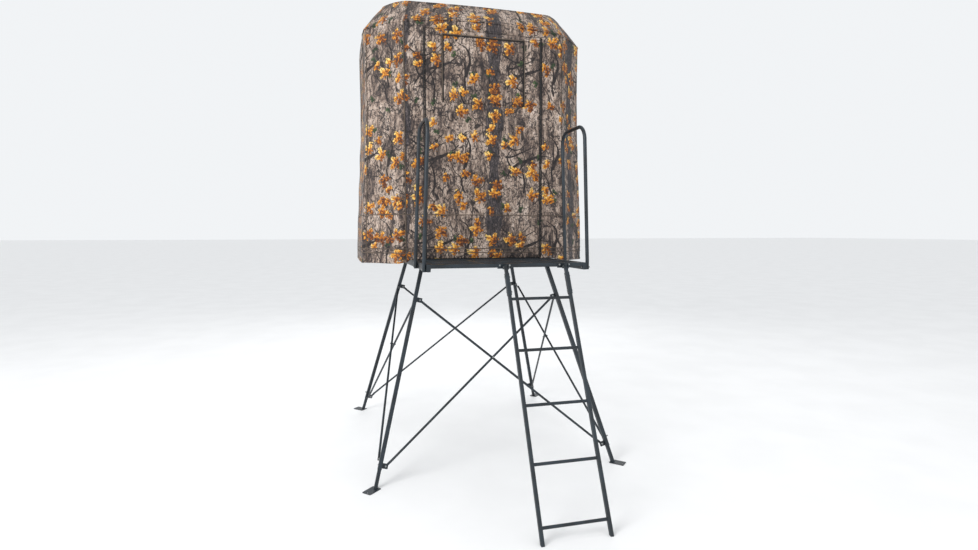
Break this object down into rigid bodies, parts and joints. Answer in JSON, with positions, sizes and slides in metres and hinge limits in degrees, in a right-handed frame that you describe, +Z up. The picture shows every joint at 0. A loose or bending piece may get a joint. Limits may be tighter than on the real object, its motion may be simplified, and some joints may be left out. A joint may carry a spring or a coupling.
{
  "type": "tower hunting blind",
  "caption": "Four-legged braced tube tower with a swinging access ladder, a railed porch and an eight-sided camouflage cloth blind on top.",
  "frame": {"origin": "on the ground under the middle of the whole object's bounding box", "axes": "+X to the right and +Y to the back, seen from the ladder; +Z up"},
  "size_m": [2.1958, 3.2298, 3.985],
  "materials": {
    "frame_paint": "dark blue-black powder coat, slightly textured",
    "bolt_steel": "zinc plated",
    "camo_fabric": "woven polyester printed with bark and oak leaves"
  },
  "bodies": {
    "tower": {"side_rail_left": "frame_paint", "side_rail_right": "frame_paint", "front_tube": "frame_paint", "front_beam": "frame_paint", "leg_beam_front": "frame_paint", "leg_beam_rear": "frame_paint", "rear_beam": "frame_paint", "deck_porch": "frame_paint", "deck_middle": "frame_paint", "deck_rear": "frame_paint", "upper_leg_front_left": "frame_paint", "upper_leg_front_right": "frame_paint", "upper_leg_rear_left": "frame_paint", "upper_leg_rear_right": "frame_paint", "brace_front_outer": "frame_paint", "brace_front_inner": "frame_paint", "brace_rear_outer": "frame_paint", "brace_rear_inner": "frame_paint", "brace_left_outer": "frame_paint", "brace_left_inner": "frame_paint", "brace_right_outer": "frame_paint", "brace_right_inner": "frame_paint", "brace_bolts": "bolt_steel", "clamp_bolts": "bolt_steel", "handrail_left": "frame_paint", "handrail_right": "frame_paint", "frame_bolts": "bolt_steel", "ladder_bracket_left": "frame_paint", "ladder_bracket_right": "frame_paint", "ladder_pivot_bolts": "bolt_steel", "blind_base_ring": "frame_paint", "blind_top_ring": "frame_paint", "blind_roof_ring": "frame_paint", "blind_posts": "frame_paint", "blind_rafters": "frame_paint", "blind_roof_bow": "frame_paint", "blind_arms": "frame_paint", "cover_front": "camo_fabric", "cover_left": "camo_fabric", "cover_right": "camo_fabric", "cover_rear": "camo_fabric", "cover_corners": "camo_fabric", "cover_roof": "camo_fabric"},
    "ladder": {"ladder_rail_left": "frame_paint", "ladder_rail_right": "frame_paint", "ladder_rungs": "frame_paint", "ladder_sleeve_left": "frame_paint", "ladder_sleeve_right": "frame_paint", "sleeve_bolts": "bolt_steel"},
    "door": {"door_flap": "camo_fabric"},
    "foot_front_left": {"lower_leg_front_left": "frame_paint"},
    "foot_front_right": {"lower_leg_front_right": "frame_paint"},
    "foot_rear_left": {"lower_leg_rear_left": "frame_paint"},
    "foot_rear_right": {"lower_leg_rear_right": "frame_paint"},
    "window_door": {"window_flap_door": "camo_fabric"},
    "window_left": {"window_flap_left": "camo_fabric"},
    "window_right": {"window_flap_right": "camo_fabric"},
    "window_rear": {"window_flap_rear": "camo_fabric"}
  },
  "joints": [
    {"name": "leg_slide_front_left", "type": "slide", "parent": "tower", "child": "foot_front_left", "axis": [-0.2458, -0.2631, -0.9329], "range_m": [0, 0.15]},
    {"name": "leg_slide_front_right", "type": "slide", "parent": "tower", "child": "foot_front_right", "axis": [0.2458, -0.2631, -0.9329], "range_m": [0, 0.15]},
    {"name": "leg_slide_rear_left", "type": "slide", "parent": "tower", "child": "foot_rear_left", "axis": [-0.2458, 0.2631, -0.9329], "range_m": [0, 0.15]},
    {"name": "leg_slide_rear_right", "type": "slide", "parent": "tower", "child": "foot_rear_right", "axis": [0.2458, 0.2631, -0.9329], "range_m": [0, 0.15]},
    {"name": "ladder_hinge", "type": "hinge", "parent": "tower", "child": "ladder", "pos_m": [0.197, -0.78644, 1.7], "axis": [-1, 0, 0], "range_deg": [0, 60]},
    {"name": "door_hinge", "type": "hinge", "parent": "tower", "child": "door", "pos_m": [-0.514, 0.00897, 2.7], "axis": [0, 0, -1], "range_deg": [0, 90]},
    {"name": "door_window_hinge", "type": "hinge", "parent": "door", "child": "window_door", "pos_m": [0, 0.01297, 3.052], "axis": [-1, 0, 0], "range_deg": [0, 165]},
    {"name": "rear_window_hinge", "type": "hinge", "parent": "tower", "child": "window_rear", "pos_m": [0, 1.50797, 3.052], "axis": [1, 0, 0], "range_deg": [0, 165]},
    {"name": "left_window_hinge", "type": "hinge", "parent": "tower", "child": "window_left", "pos_m": [-0.981, 0.75897, 3.052], "axis": [0, 1, 0], "range_deg": [0, 165]},
    {"name": "right_window_hinge", "type": "hinge", "parent": "tower", "child": "window_right", "pos_m": [0.981, 0.75897, 3.052], "axis": [0, -1, 0], "range_deg": [0, 165]}
  ]
}
